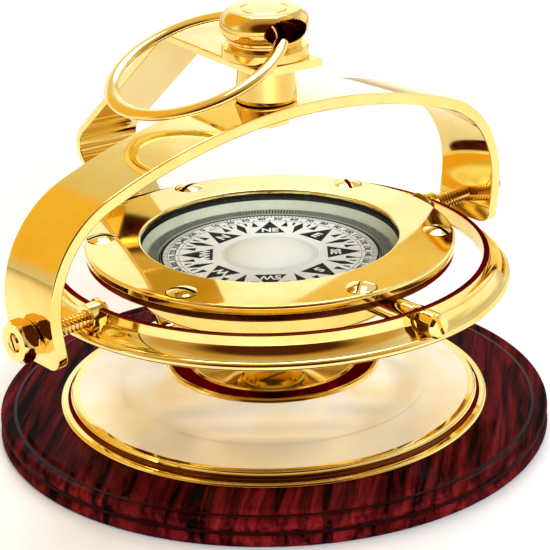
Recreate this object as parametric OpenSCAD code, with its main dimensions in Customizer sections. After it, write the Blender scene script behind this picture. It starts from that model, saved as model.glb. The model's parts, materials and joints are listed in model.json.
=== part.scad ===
// Gimballed binnacle compass on a turned wooden base, millimetres, +Z up.
// The origin is the centre of the underside, on the surface the base stands on.
// The yoke and the outer gimbal axis lie along X, the inner gimbal axis along Y.

/* [Base] */
// Radius of the wooden base at its widest
base_r = 84; // [82:0.5:90]
// Height of the flat top of the wooden base
base_h = 8.2; // [8:0.1:10]
// Radius of the brass base plate flange
plate_r = 65.3; // [62:0.1:70]
// Height of the crown of the brass base plate
plate_top = 13.4; // [13:0.1:15]
// Radius of the flared boss that clamps the support arm, at its rim
boss_r = 32.6; // [30:0.1:36]
// Height of the rim of the clamp boss
boss_top = 20.8; // [20:0.1:21.5]

/* [Support arm] */
// Direction of the support arm seen from above, 90 is square to the yoke
arm_angle = 83.5; // [75:0.5:105]
// Width of the support arm strap
arm_w = 22; // [18:0.5:26]
// Thickness of the support arm strap
arm_t = 2.4; // [2:0.1:3]
// Reach of the elbow of the support arm from the centre
arm_reach = 101.5; // [100:0.5:106]
// Height of the top face of the support arm
arm_top = 115.6; // [114:0.1:120]

/* [Yoke] */
// Half of the outer span of the yoke
yoke_half = 87; // [86:0.5:90]
// Height of the crown of the yoke
yoke_top = 102.3; // [101:0.1:104]
// Width of the yoke strap
yoke_w = 23; // [20:0.5:25]
// Thickness of the yoke strap
yoke_t = 3.6; // [3:0.1:4]
// Radius of the flat arch of the yoke
crown_r = 190; // [170:5:230]
// Radius of the shoulders of the yoke
shoulder_r = 32; // [28:1:36]
// Inward lean of the yoke legs in degrees
leg_lean = 7; // [4:0.5:9]

/* [Gimbals] */
// Height of both gimbal axes
axis_z = 52.5; // [52:0.1:53]
// Inner radius of the gimbal ring
ring_in = 63.6; // [62:0.1:64.5]
// Radius of the rolled lip of the gimbal ring
lip_r = 71.8; // [70:0.1:72.5]
// Radius of the outer pivot bolts
bolt_r = 2.5; // [2:0.1:3]
// Radius of the journals of the inner pivot screws
journal_r = 2; // [1.5:0.1:2.4]
// Radial clearance of the running fits
run_gap = 0.05; // [0.02:0.01:0.08]

/* [Bowl] */
// Outer radius of the bezel
bezel_r = 55.3; // [54:0.1:56]
// Radius of the opening in the bezel
opening_r = 38.6; // [38:0.1:39]
// Outer radius of the bowl drum
drum_r = 40.2; // [40:0.1:41]
// Radius of the compass card
card_r = 33; // [31:0.1:33.2]
// Number of bezel screws
bezel_screw_n = 6; // [4:1:8]

/* [Handle] */
// Radius of the handle ring at the middle of its wire
handle_r = 25.4; // [24:0.2:27]
// Radius of the handle wire where it runs through the knob
wire_r = 1.4; // [1.2:0.1:1.5]
// Width of the flattened grip of the handle
grip_w = 4.4; // [3.4:0.1:4.6]
// Thickness of the flattened grip of the handle
grip_t = 2.6; // [2.2:0.1:3]
// Height of the eye through the knob
handle_z = 124.8; // [124.6:0.1:125]
// Direction of the handle's hinge axis seen from above
handle_angle = 78; // [76:0.5:84]
// Angle by which the resting handle droops
handle_droop = 20.6; // [15:0.2:22]
// Angle by which the resting handle leans sideways in its eye
handle_lean = 3.5; // [0:0.5:4]

/* [Hidden] */
$fn = 96;

brass = [0.86, 0.66, 0.22];
steel = [0.62, 0.63, 0.66];
// Cut that passes right through a part beyond both faces
over = 1;
// Flats that make up each bend of the arm, and each shoulder and half crown of the yoke
bend_steps = 14;
arch_steps = 20;
// Clearance of a stud or screw in its hole within one assembly
slip = 0.05;
// Base
felt_r = 77.9;
felt_t = 1.3;
wood_bottom = 0.25;
plate_rim_z = 12.4;
rim_r = 61.7;
clamp_bolt_r = 3;
// Flared skirt of the clamp boss: outer radius, and radius of its concave flank
skirt_r = 46.8;
cove_r = 18.8;
plate_screw_ring = 50;
plate_screw_n = 4;
// Support arm
arm_end = 13;
arm_bend = 7;
arm_high_x = 41;
arm_low_x = 48;
arm_high_z = arm_top - arm_t / 2;
arm_low_z = plate_top + arm_t / 2;
arm_elbow_z = (arm_high_z + arm_low_z) / 2 + 1;
ARM_PATH = [[-arm_end, arm_high_z], [arm_high_x, arm_high_z], [arm_reach, arm_elbow_z],
    [arm_low_x, arm_low_z], [-arm_end, arm_low_z]];
// Top fittings
stud_r = 4;
spacer_bottom = yoke_top + 0.15;
arm_under = arm_top - arm_t;
collar_top = 118.9;
knob_top = 129.4;
stud_top = 121;
stud_bottom = yoke_top - yoke_t - 3.6;
// Width and height of the oval eye through the knob
eye_w = 14;
eye_h = 7;
// Distance from the middle of the eye to the handle wire
handle_hang = 1.5;
// Half of the stretch of round wire inside the knob, and the length it laps into the grip
journal_half = 14.2;
journal_lap = 0.4;
// Yoke arch
shoulder_x = yoke_half - shoulder_r;
shoulder_z = yoke_top - crown_r + sqrt(pow(crown_r - shoulder_r, 2) - pow(shoulder_x, 2));
shoulder_a = atan2(shoulder_z - (yoke_top - crown_r), shoulder_x);
leg_len = 22;
// How far the squared feet reach below the gimbal axis, and the radius of their corners
foot_drop = 7.6;
foot_corner = 4;
// Where the outer faces of the legs cross the gimbal axis
leg_x = shoulder_x + shoulder_r * cos(leg_lean)
    - (shoulder_z - shoulder_r * sin(leg_lean) - axis_z) * tan(leg_lean);
nut_h = 5.2;
bolt_tip = 62.4;
// Length of the right-hand pivot bolt beyond the yoke leg
stub_len = 11;
bush_r = 4.2;
// Inner pivots: seat and radius of the screw head, then the trunnion and the plug that holds it
head_seat = ring_in + 3.2;
head_r = 3.7;
trunnion_r = 3.6;
plug_r = 2.4;
trunnion_plug = 1.2;
// Bowl stack, from the flange up
flange_z = 55;
flange_top = 57.1;
glass_z = 57.75;
glass_top = 59.2;
bezel_top = 59.5;
ledge_z = 53;
ledge_r = 36.6;
sphere_r = 29;
sphere_wall = 1.6;
drum_bottom = 43;
drum_in = 38.5;
bowl_floor = 25.2;
screw_ring = 49.9;
screw_phase = 20.3;
screw_head_r = 5;
card_z = 53.4;
card_t = 0.6;
bridge_z = 44.75;

function unit(v) = v / norm(v);
function side(v) = [-v[1], v[0]];
function polar(r, a) = [r * cos(a), r * sin(a)];
function oval(a, b, n) = [for (i = [0:n - 1]) [a * cos(360 * i / n), b * sin(360 * i / n)]];
function arc(c, r, a0, a1, n) = [for (i = [0:n]) c + polar(r, a0 + (a1 - a0) * i / n)];

// One edge of a strip along a path whose corners are rolled round, at a distance to its left
function bend_turn(p, i) = let (u = p[i] - p[i - 1], v = p[i + 1] - p[i])
    atan2(u[0] * v[1] - u[1] * v[0], u * v);
function bend_start(p, i) = let (u = p[i] - p[i - 1]) atan2(u[1], u[0]);
function bend(p, i, r, off) = let (
        turn = bend_turn(p, i),
        hand = sign(turn),
        u = unit(p[i] - p[i - 1]),
        c = p[i] - u * r * tan(abs(turn) / 2) + side(u) * hand * r,
        a0 = bend_start(p, i) - 90 * hand
    ) arc(c, r - hand * off, a0, a0 + turn, bend_steps);
function strip_edge(p, r, off) = concat(
    [p[0] + side(unit(p[1] - p[0])) * off],
    [for (i = [1:len(p) - 2]) each bend(p, i, r, off)],
    [p[len(p) - 1] + side(unit(p[len(p) - 1] - p[len(p) - 2])) * off]);
function reverse(v) = [for (i = [len(v) - 1:-1:0]) v[i]];

// A strip of even thickness that follows a path and is rolled round each corner
module bent_strip(p, t, r) {
    polygon(concat(strip_edge(p, r, t / 2), reverse(strip_edge(p, r, -t / 2))));
}

// Turns a profile drawn in X and Z so that its X axis points to +Y, and gives it a width in X
module strap_in_y(width) {
    rotate([90, 0, 90]) translate([0, 0, -width / 2]) linear_extrude(width) children();
}

module strap_in_x(width) {
    rotate([90, 0, 0]) translate([0, 0, -width / 2]) linear_extrude(width) children();
}

module pipe(r_out, r_in, h) {
    difference() {
        cylinder(r = r_out, h = h);
        translate([0, 0, -over]) cylinder(r = r_in, h = h + 2 * over);
    }
}

module along_x(x0, x1, r) {
    translate([x0, 0, axis_z]) rotate([0, 90, 0]) cylinder(r = r, h = x1 - x0);
}

// A rod on the inner gimbal axis, on the front side, from radius y0 to radius y1
module along_front(y0, y1, r) {
    translate([0, -y0, axis_z]) rotate([90, 0, 0]) cylinder(r = r, h = y1 - y0);
}

module hex(across_flats, h) {
    cylinder(r = across_flats / sqrt(3), h = h, $fn = 6);
}

module slot(width, length, depth) {
    translate([-length / 2, -width / 2, -depth]) cube([length, width, depth + over]);
}

module turned(points) {
    rotate_extrude() polygon(points);
}

// ---------- base ----------

module felt_pad() {
    color("darkgreen") cylinder(r = felt_r, h = felt_t);
}

module plate_screw_places() {
    for (i = [0:plate_screw_n - 1])
        rotate([0, 0, 45 + i * 360 / plate_screw_n]) translate([plate_screw_ring, 0, 0]) children();
}

module wood_base() {
    foot_r = base_r - 1.6;
    bead_r = 1.7;
    bead = [base_r - 3.4, base_h - 1.1];
    color([0.32, 0.05, 0.05]) difference() {
        turned(concat([[0, felt_t], [felt_r + 0.1, felt_t], [felt_r + 0.1, wood_bottom]],
            arc([foot_r, wood_bottom + 1.6], 1.6, -90, 70, 8),
            [[base_r - 1.8, 3.9], [base_r - 1.7, 4.6]],
            arc(bead, bead_r, -20, 110, 8),
            [[base_r - 5.4, base_h - 0.25], [base_r - 6.6, base_h], [0, base_h]]));
        translate([0, 0, -over]) cylinder(r = clamp_bolt_r + slip, h = base_h + 2 * over);
        translate([0, 0, -over]) cylinder(r = 9, h = over + 4.8);
        plate_screw_places() {
            translate([0, 0, -over]) cylinder(r = 1.6 + slip, h = base_h + 2 * over);
            translate([0, 0, -over]) cylinder(r = 3.6, h = over + 3.2);
        }
    }
}

module base_plate() {
    color(brass) difference() {
        turned(concat([[0, base_h], [plate_r - 0.4, base_h]],
            arc([plate_r - 1, base_h + 1], 1, -40, 90, 6),
            arc([rim_r + 1.7, base_h + 3], 1, 270, 180, 5),
            arc([rim_r - 0.9, plate_rim_z - 0.9], 0.9, 0, 90, 5),
            [[skirt_r + 0.7, plate_top], [0, plate_top]]));
        translate([0, 0, base_h - over]) cylinder(r = clamp_bolt_r + slip, h = 10);
        plate_screw_places() translate([0, 0, base_h - over]) cylinder(r = 1.6 + slip, h = 3.6);
    }
}

module base_plate_screws() {
    color(steel) plate_screw_places() {
        translate([0, 0, 1.7]) difference() {
            cylinder(r = 3.2, h = 1.5);
            rotate([180, 0, 0]) slot(0.7, 7, 0.8);
        }
        translate([0, 0, 3.2]) cylinder(r = 1.6, h = 7.4);
    }
}

module support_arm() {
    color(brass) rotate([0, 0, arm_angle - 90]) difference() {
        strap_in_y(arm_w) bent_strip(ARM_PATH, arm_t, arm_bend);
        translate([0, 0, arm_under - over]) cylinder(r = stud_r + slip, h = arm_t + 2 * over);
        translate([0, 0, plate_top - over]) cylinder(r = clamp_bolt_r + slip, h = arm_t + 2 * over);
    }
}

module clamp_boss() {
    floor_z = boss_top - 1.5;
    color(brass) difference() {
        turned(concat([[clamp_bolt_r + slip, plate_top], [skirt_r, plate_top]],
            arc([skirt_r, plate_top + 0.4 + cove_r], cove_r, -90, -136, 12),
            [[boss_r, boss_top - 0.8], [boss_r - 0.35, boss_top - 0.1], [boss_r - 1.2, boss_top],
            [25.6, boss_top - 0.4], [25.2, boss_top - 0.1], [24.7, boss_top - 0.1],
            [24.3, floor_z], [9, floor_z], [8.6, floor_z + 0.4],
            [clamp_bolt_r + slip, floor_z + 0.4]]));
        rotate([0, 0, arm_angle - 90])
            translate([-arm_w / 2 - 0.1, -arm_end - 0.1, plate_top - over])
            cube([arm_w + 0.2, skirt_r + arm_end + 2, over + arm_t + 0.05]);
    }
}

module clamp_bolt() {
    seat = boss_top - 1.1;
    color(brass) {
        translate([0, 0, seat]) difference() {
            cylinder(r = 5.6, h = 1.9);
            translate([0, 0, 1.9]) slot(1.2, 12, 0.9);
        }
        translate([0, 0, 1.7]) cylinder(r = clamp_bolt_r, h = seat - 1.7);
    }
}

module clamp_washer() {
    color(steel) translate([0, 0, 4]) pipe(7.5, clamp_bolt_r + slip, 0.8);
}

module clamp_nut() {
    color(steel) translate([0, 0, 1.6]) difference() {
        hex(10, 2.4);
        translate([0, 0, -over]) cylinder(r = clamp_bolt_r + slip, h = 5);
    }
}

// ---------- stud, spacer, knob and handle ----------

module top_stud() {
    color(brass) translate([0, 0, stud_bottom]) cylinder(r = stud_r, h = stud_top - stud_bottom);
}

module spacer() {
    bore = stud_r + slip;
    color(brass) turned(concat([[bore, spacer_bottom], [8.9, spacer_bottom]],
        arc([8.6, spacer_bottom + 0.9], 0.6, 0, 90, 4),
        [[8.3, arm_under - 0.5], [8.1, arm_under], [bore, arm_under]]));
}

module collar() {
    bore = stud_r + slip;
    color(brass) turned([[bore, arm_top], [12.4, arm_top], [12.8, arm_top + 0.4],
        [12.8, collar_top - 0.5], [12.3, collar_top], [bore, collar_top]]);
}

module knob() {
    bore = stud_r + slip;
    color(brass) difference() {
        turned(concat([[bore, collar_top], [10.6, collar_top], [10.6, 120.4], [11.6, 120.7]],
            arc([8.2, 125], 4.85, -38, 68, 14), [[6.5, knob_top], [0, knob_top],
            [0, stud_top + 0.1], [bore, stud_top + 0.1]]));
        translate([0, 0, handle_z]) rotate([0, 0, arm_angle - 90]) rotate([90, 0, 0])
            linear_extrude(30, center = true) polygon(oval(eye_w / 2, eye_h / 2, 36));
    }
}

module stud_washer() {
    color(brass) translate([0, 0, yoke_top - yoke_t - 1.2]) pipe(7, stud_r + slip, 0.8);
}

module stud_nut() {
    color(brass) translate([0, 0, stud_bottom + 0.2]) difference() {
        hex(12, 2.15);
        translate([0, 0, -over]) cylinder(r = stud_r + slip, h = 6);
    }
}

module near_eye(half) {
    translate([handle_r - 12, -half, -5]) cube([20, 2 * half, 10]);
}

module handle_ring() {
    color(brass) translate([0, 0, handle_z]) rotate([0, 0, handle_angle - 90])
        rotate([0, -handle_droop, 0]) rotate([handle_lean, 0, 0])
        translate([handle_hang - handle_r, 0, 0]) {
            difference() {
                rotate_extrude() translate([handle_r, 0]) polygon(oval(grip_w / 2, grip_t / 2, 24));
                near_eye(journal_half);
            }
            intersection() {
                rotate_extrude() translate([handle_r, 0]) circle(wire_r);
                near_eye(journal_half + journal_lap);
            }
        }
}

// ---------- yoke and outer pivots ----------

// One face of the yoke strap from the left foot over the crown to the right foot
function leg_end(inset) = [shoulder_x, shoulder_z] + polar(shoulder_r - inset, -leg_lean)
    + polar(leg_len, -leg_lean - 90);
function yoke_half_face(inset) = concat([leg_end(inset)],
    arc([shoulder_x, shoulder_z], shoulder_r - inset, -leg_lean, shoulder_a, arch_steps),
    [for (i = [1:arch_steps]) [0, yoke_top - crown_r]
        + polar(crown_r - inset, shoulder_a + (90 - shoulder_a) * i / arch_steps)]);
function yoke_face(inset) = let (h = yoke_half_face(inset))
    concat(h, [for (i = [len(h) - 2:-1:0]) [-h[i][0], h[i][1]]]);

module yoke_arch() {
    polygon(concat(yoke_face(0), reverse(yoke_face(yoke_t))));
}

// Strap seen end on: squared feet with rounded corners
module leg_outline() {
    foot = axis_z - foot_drop;
    inner = yoke_w / 2 - foot_corner;
    translate([-inner, foot]) square([2 * inner, yoke_top]);
    translate([-yoke_w / 2, foot + foot_corner]) square([yoke_w, yoke_top]);
    for (y = [-inner, inner]) translate([y, foot + foot_corner]) circle(foot_corner);
}

module yoke() {
    color(brass) difference() {
        intersection() {
            strap_in_x(yoke_w) yoke_arch();
            strap_in_y(4 * yoke_half) leg_outline();
        }
        along_x(-yoke_half - over, yoke_half + over, bolt_r + slip);
        translate([0, 0, yoke_top - yoke_t - over]) cylinder(r = stud_r + run_gap, h = yoke_t + 2 * over);
    }
}

// Threaded pivot bolt on the +X side, its journal inside the ring bush
module pivot_bolt(end_x) {
    color(brass) difference() {
        along_x(bolt_tip, end_x, bolt_r);
        translate([end_x, 0, axis_z]) rotate([90, 0, 90]) slot(0.9, 7, 1.2);
    }
}

module pivot_bolt_left() {
    mirror([1, 0, 0]) pivot_bolt(leg_x + nut_h + 1);
}

module pivot_bolt_right() {
    pivot_bolt(leg_x + stub_len);
}

module lock_nut_left() {
    color(brass) difference() {
        translate([-leg_x - nut_h - 0.7, 0, axis_z]) rotate([0, 90, 0]) hex(11, nut_h);
        along_x(-leg_x - nut_h - over, -leg_x + over, bolt_r + slip);
    }
}

// ---------- gimbal ring and inner pivots ----------

module gimbal_ring() {
    top = axis_z + 3.2;
    low = axis_z - 5;
    color(brass) difference() {
        turned(concat([[ring_in, top], [ring_in, axis_z - 1.6], [ring_in + 1.6, axis_z - 3.6],
            [ring_in + 3.6, low], [lip_r - 0.9, low]],
            arc([lip_r - 1.1, low + 1.1], 1.1, -80, 90, 8),
            [[lip_r - 2.6, axis_z - 2.5], [ring_in + 4.1, axis_z - 1.7], [ring_in + 2.8, axis_z - 0.3],
            [ring_in + 2.1, axis_z + 1.4], [ring_in + 2, top - 0.3], [ring_in + 1.7, top]]));
        along_x(-lip_r, lip_r, bush_r + 0.02);
        for (a = [0, 180]) rotate([0, 0, a]) {
            along_front(ring_in - over, lip_r, 3 + slip);
            along_front(head_seat, lip_r + over, head_r + slip);
        }
    }
}

module ring_bush() {
    color(brass) difference() {
        union() {
            along_x(ring_in - 0.6, ring_in + 4.4, bush_r);
            along_x(ring_in - 1.1, ring_in - 0.3, bush_r + 0.8);
        }
        along_x(ring_in - 3, ring_in + 6, bolt_r + run_gap);
    }
}

module ring_bush_left() {
    mirror([1, 0, 0]) ring_bush();
}

module ring_bush_right() {
    ring_bush();
}

module pivot_screw() {
    color(brass) difference() {
        union() {
            along_front(head_seat, ring_in + 9, head_r);
            along_front(ring_in - 0.4, head_seat + 0.1, 3);
            along_front(ring_in - 7, ring_in - 0.3, journal_r);
        }
        translate([0, -ring_in - 9, axis_z]) rotate([90, 25, 0]) slot(1.1, 9, 2);
    }
}

module pivot_screw_front() {
    pivot_screw();
}

module pivot_screw_rear() {
    rotate([0, 0, 180]) pivot_screw();
}

module trunnion() {
    color(brass) difference() {
        union() {
            along_front(drum_r + 0.05, ring_in - 0.8, trunnion_r);
            along_front(drum_r - trunnion_plug, drum_r + 0.1, plug_r);
        }
        along_front(ring_in - 7.6, ring_in, journal_r + run_gap);
    }
}

module trunnion_front() {
    trunnion();
}

module trunnion_rear() {
    rotate([0, 0, 180]) trunnion();
}

// ---------- bowl ----------

module bowl() {
    in_r = sphere_r - sphere_wall;
    neck = drum_bottom + 1.7;
    out_a = asin((axis_z - drum_bottom) / sphere_r);
    in_a = asin((axis_z - neck) / in_r);
    out_b = asin((axis_z - bowl_floor) / sphere_r);
    in_b = asin((axis_z - bowl_floor - sphere_wall) / in_r);
    centre = [0, axis_z];
    color(brass) difference() {
        turned(concat([[7.5, bowl_floor]], arc(centre, sphere_r, -out_b, -out_a, 10),
            arc([drum_r - 1.5, drum_bottom + 1.5], 1.5, -90, 0, 5),
            [[drum_r, flange_z], [bezel_r - 0.8, flange_z], [bezel_r - 0.3, flange_z + 0.5],
            [bezel_r - 0.3, flange_top], [drum_in, flange_top], [drum_in, ledge_z],
            [ledge_r, ledge_z], [ledge_r, neck]],
            arc(centre, in_r, -in_a, -in_b, 10), [[7.5, bowl_floor + sphere_wall]]));
        bezel_screw_places() translate([0, 0, flange_z - over]) cylinder(r = 1.6 + slip, h = 5);
        for (a = [0, 180]) rotate([0, 0, a]) {
            along_front(drum_r - trunnion_plug - 0.1, drum_r + over, plug_r + slip);
            along_front(drum_r, bezel_r + over, trunnion_r + slip);
        }
        filler_place() cylinder(r = 2.5 + slip, h = 12, center = true);
        bridge_screw_places() translate([0, 0, drum_bottom + 0.4]) cylinder(r = 0.9 + slip, h = 3);
    }
}

module filler_place() {
    rotate([0, 0, 138]) translate([drum_r - 1, 0, 48.6]) rotate([0, 90, 0]) children();
}

module filler_plug() {
    color(brass) filler_place() {
        translate([0, 0, -1.6]) cylinder(r = 2.5, h = 3);
        translate([0, 0, 1.3]) difference() {
            cylinder(r = 3.6, h = 1.8);
            translate([0, 0, 1.8]) slot(0.9, 9, 0.9);
        }
    }
}

module bezel_screw_places() {
    for (i = [0:bezel_screw_n - 1])
        rotate([0, 0, screw_phase + i * 360 / bezel_screw_n]) translate([screw_ring, 0, 0]) children();
}

module bezel() {
    rebate_r = 41.7;
    color(brass) difference() {
        turned(concat([[rebate_r, flange_top], [bezel_r - 0.3, flange_top], [bezel_r, flange_top + 0.3]],
            arc([bezel_r - 0.8, bezel_top - 0.8], 0.8, 0, 90, 5),
            arc([opening_r + 0.6, bezel_top - 0.2], 0.6, 90, 180, 5),
            [[opening_r, glass_top + 0.05], [rebate_r, glass_top + 0.05]]));
        bezel_screw_places() {
            translate([0, 0, flange_top - over]) cylinder(r = 1.6 + slip, h = 5);
            translate([0, 0, bezel_top - 1.7]) cylinder(r1 = 1.7, r2 = screw_head_r + 0.6, h = 2.2);
        }
    }
}

module bezel_screws() {
    color(brass) bezel_screw_places() {
        difference() {
            union() {
                translate([0, 0, bezel_top - 1.5]) cylinder(r1 = 1.6, r2 = screw_head_r, h = 1.7);
                translate([0, 0, bezel_top + 0.2]) cap(screw_head_r, 1.5);
            }
            translate([0, 0, bezel_top + 1.7]) rotate([0, 0, 40]) slot(1.2, 12, 1.3);
        }
        translate([0, 0, flange_z + 0.2]) cylinder(r = 1.6, h = bezel_top - 1.4 - flange_z - 0.2);
    }
}

// Spherical cap that stands on the plane z = 0
module cap(r, h) {
    ball = (r * r + h * h) / (2 * h);
    half = asin(r / ball);
    turned(concat([[0, 0]], arc([0, h - ball], ball, 90 - half, 90, 10)));
}

module glass() {
    color([0.85, 0.93, 0.95, 0.35]) translate([0, 0, glass_z]) cylinder(r = 40.5, h = glass_top - glass_z);
}

module glass_gasket() {
    color([0.08, 0.08, 0.08]) turned([[opening_r + 0.2, flange_top], [41.6, flange_top], [41.6, glass_top],
        [40.6, glass_top], [40.6, glass_z - 0.05], [opening_r + 0.2, glass_z - 0.05]]);
}

module bowl_liner() {
    color([0.8, 0.84, 0.78]) turned([[37.35, 54.25], [drum_in - 0.05, 54.25],
        [drum_in - 0.05, flange_top], [drum_in - 0.35, flange_top]]);
}

module graduated_ring() {
    color([0.62, 0.64, 0.6]) translate([0, 0, ledge_z]) pipe(drum_in - 0.05, card_r + 0.6, 1.2);
}

module bridge_screw_places() {
    for (a = [45, 225]) rotate([0, 0, a]) translate([32.5, 0, 0]) children();
}

module pivot_bridge() {
    color(brass) difference() {
        rotate([0, 0, 45]) translate([-35.5, -4, bridge_z]) cube([71, 8, 1.6]);
        translate([0, 0, bridge_z - over]) cylinder(r = 1.5 + slip, h = 5);
        bridge_screw_places() translate([0, 0, bridge_z - over]) cylinder(r = 0.9 + slip, h = 5);
    }
}

module bridge_screws() {
    color(brass) bridge_screw_places() {
        translate([0, 0, drum_bottom + 0.6]) cylinder(r = 0.9, h = bridge_z + 1.7 - drum_bottom - 0.6);
        translate([0, 0, bridge_z + 1.65]) cap(1.9, 1);
    }
}

module pivot_post() {
    color(steel) turned([[0, bridge_z - 1.5], [1.5, bridge_z - 1.5], [1.5, bridge_z + 2.5],
        [1, bridge_z + 3], [1, 50.4], [0.25, 52.2], [0, 52.3]]);
}

module counterweight() {
    z = bowl_floor + sphere_wall + 0.05;
    color([0.35, 0.36, 0.38]) translate([0, 0, z]) cylinder(r1 = 9, r2 = 13.5, h = 3.6);
}

module diaphragm() {
    z = bowl_floor - 0.45;
    color([0.8, 0.6, 0.35]) turned([[0, z], [2.4, z], [3.4, z + 0.3], [4.4, z], [5.4, z + 0.3],
        [6.4, z], [9.2, z], [9.2, z + 0.4], [6.6, z + 0.4], [5.4, z + 0.7], [4.4, z + 0.4],
        [3.4, z + 0.7], [2.4, z + 0.4], [0, z + 0.4]]);
}

module bottom_cover() {
    z = bowl_floor - 1.9;
    color(brass) turned([[0, z], [8.9, z], [9.6, z + 0.6], [9.6, z + 1.4], [6.9, z + 1.4],
        [6.5, z + 0.9], [0, z + 0.9]]);
}

// ---------- card ----------

module compass_card() {
    color("white") translate([0, 0, card_z]) pipe(card_r, 2, card_t);
}

module float_dome() {
    color([0.93, 0.96, 0.97]) translate([0, 0, card_z + card_t]) cap(13.8, 3.2);
}

module card_float() {
    color([0.9, 0.9, 0.88]) translate([0, 0, card_z - 3.2]) pipe(14, 4, 3.2);
}

module pivot_cap() {
    color(steel) turned([[0, 53.95], [1.95, 53.95], [1.95, card_z], [3.4, card_z], [3.4, 51.8],
        [1.9, 51.8], [0.3, 52.75], [0, 52.8]]);
}

module card_magnets() {
    color([0.3, 0.3, 0.33]) for (y = [-18, 18])
        translate([-15, y - 1.6, card_z - 2.2]) cube([30, 3.2, 2.2]);
}

felt_pad();
wood_base();
base_plate();
base_plate_screws();
support_arm();
clamp_boss();
clamp_bolt();
clamp_washer();
clamp_nut();
top_stud();
spacer();
collar();
knob();
stud_washer();
stud_nut();
handle_ring();
yoke();
pivot_bolt_left();
pivot_bolt_right();
lock_nut_left();
gimbal_ring();
ring_bush_left();
ring_bush_right();
pivot_screw_front();
pivot_screw_rear();
bowl();
trunnion_front();
trunnion_rear();
bezel();
bezel_screws();
glass();
glass_gasket();
bowl_liner();
graduated_ring();
pivot_bridge();
bridge_screws();
pivot_post();
counterweight();
diaphragm();
bottom_cover();
filler_plug();
compass_card();
float_dome();
card_float();
pivot_cap();
card_magnets();
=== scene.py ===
"""Looks of a gimballed binnacle compass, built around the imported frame. Metres, +Z up."""

import json
import math
import random

import bmesh
import bpy
from mathutils import Matrix, Vector


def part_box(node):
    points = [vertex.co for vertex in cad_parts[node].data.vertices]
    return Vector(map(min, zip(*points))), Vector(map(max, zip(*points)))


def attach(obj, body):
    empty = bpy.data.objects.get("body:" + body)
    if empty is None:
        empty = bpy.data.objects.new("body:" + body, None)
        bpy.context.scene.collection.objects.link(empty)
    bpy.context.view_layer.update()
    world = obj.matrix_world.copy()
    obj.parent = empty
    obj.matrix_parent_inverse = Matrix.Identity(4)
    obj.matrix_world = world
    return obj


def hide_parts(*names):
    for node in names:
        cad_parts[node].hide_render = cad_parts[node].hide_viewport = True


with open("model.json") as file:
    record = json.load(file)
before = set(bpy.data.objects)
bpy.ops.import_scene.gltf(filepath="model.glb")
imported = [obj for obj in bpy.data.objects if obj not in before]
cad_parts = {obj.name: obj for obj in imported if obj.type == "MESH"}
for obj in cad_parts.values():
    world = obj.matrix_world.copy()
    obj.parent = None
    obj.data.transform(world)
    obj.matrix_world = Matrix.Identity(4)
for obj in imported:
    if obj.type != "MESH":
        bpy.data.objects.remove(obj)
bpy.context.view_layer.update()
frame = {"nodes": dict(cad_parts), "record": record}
MM = 0.001
TAU = 2 * math.pi
JOINTS = {j["name"]: j for j in frame["record"]["behaviour"]["joints"]}
AXIS_Z = JOINTS["ring_tilt"]["pos_m"][2]
EYE_Z = JOINTS["handle_swing"]["pos_m"][2]
HINGE = Vector(JOINTS["handle_swing"]["axis"])
random.seed(7)


# ---------------------------------------------------------------- mesh helpers

def new_object(name, bm, body, material, node=None, sharp=35):
    """Finishes a bmesh as a piece: outward faces, smooth shading, body, slot and material."""
    bmesh.ops.remove_doubles(bm, verts=bm.verts, dist=1e-7)
    bmesh.ops.recalc_face_normals(bm, faces=bm.faces)
    mesh = bpy.data.meshes.new(name)
    bm.to_mesh(mesh)
    bm.free()
    piece = bpy.data.objects.new(name, mesh)
    bpy.context.scene.collection.objects.link(piece)
    finish_mesh(piece, sharp)
    piece.data.materials.append(material)
    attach(piece, body)
    if node:
        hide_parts(node)
    return piece


def finish_mesh(piece, sharp=35):
    """Smooth faces with sharp edges above an angle, and normals that keep flat faces flat."""
    mesh = piece.data
    mesh.polygons.foreach_set("use_smooth", [True] * len(mesh.polygons))
    mesh.set_sharp_from_angle(angle=math.radians(sharp))
    if not piece.modifiers:
        weighted = piece.modifiers.new("even_normals", "WEIGHTED_NORMAL")
        weighted.keep_sharp = True
        weighted.weight = 90


def paint(piece, material, chosen):
    """Gives a second material to the faces whose centre and normal pass a test."""
    piece.data.materials.append(material)
    index = len(piece.data.materials) - 1
    for face in piece.data.polygons:
        if chosen(face.center / MM, face.normal):
            face.material_index = index


def polar(r, degrees):
    a = math.radians(degrees)
    return Vector((r * math.cos(a), r * math.sin(a)))


def arc(centre, r, a0, a1, steps=8):
    """Points of an arc in the profile plane, from a0 to a1 degrees."""
    c = Vector(centre)
    return [c + polar(r, a0 + (a1 - a0) * i / steps) for i in range(steps + 1)]


def fillet(points, radius, steps=4, closed=True):
    """Rounds the corners of an outline. A point given as (x, y, r) has its own radius."""
    out = []
    n = len(points)
    for i, p in enumerate(points):
        here = Vector(p[:2])
        r = p[2] if len(p) > 2 else radius
        if r <= 0 or (not closed and i in (0, n - 1)):
            out.append(here)
            continue
        a = Vector(points[i - 1][:2]) - here
        b = Vector(points[(i + 1) % n][:2]) - here
        if min(a.length, b.length) < 1e-9:
            out.append(here)
            continue
        angle = a.angle(b)
        if angle > math.radians(168) or angle < math.radians(4):
            out.append(here)
            continue
        cut = min(r / math.tan(angle / 2), 0.46 * a.length, 0.46 * b.length)
        r = cut * math.tan(angle / 2)
        a.normalize()
        b.normalize()
        centre = here + (a + b).normalized() * r / math.sin(angle / 2)
        start = here + a * cut - centre
        end = here + b * cut - centre
        turn = start.angle_signed(end)
        for k in range(steps + 1):
            spin = Matrix.Rotation(-turn * k / steps, 2)
            out.append(centre + spin @ start)
    return out


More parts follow.
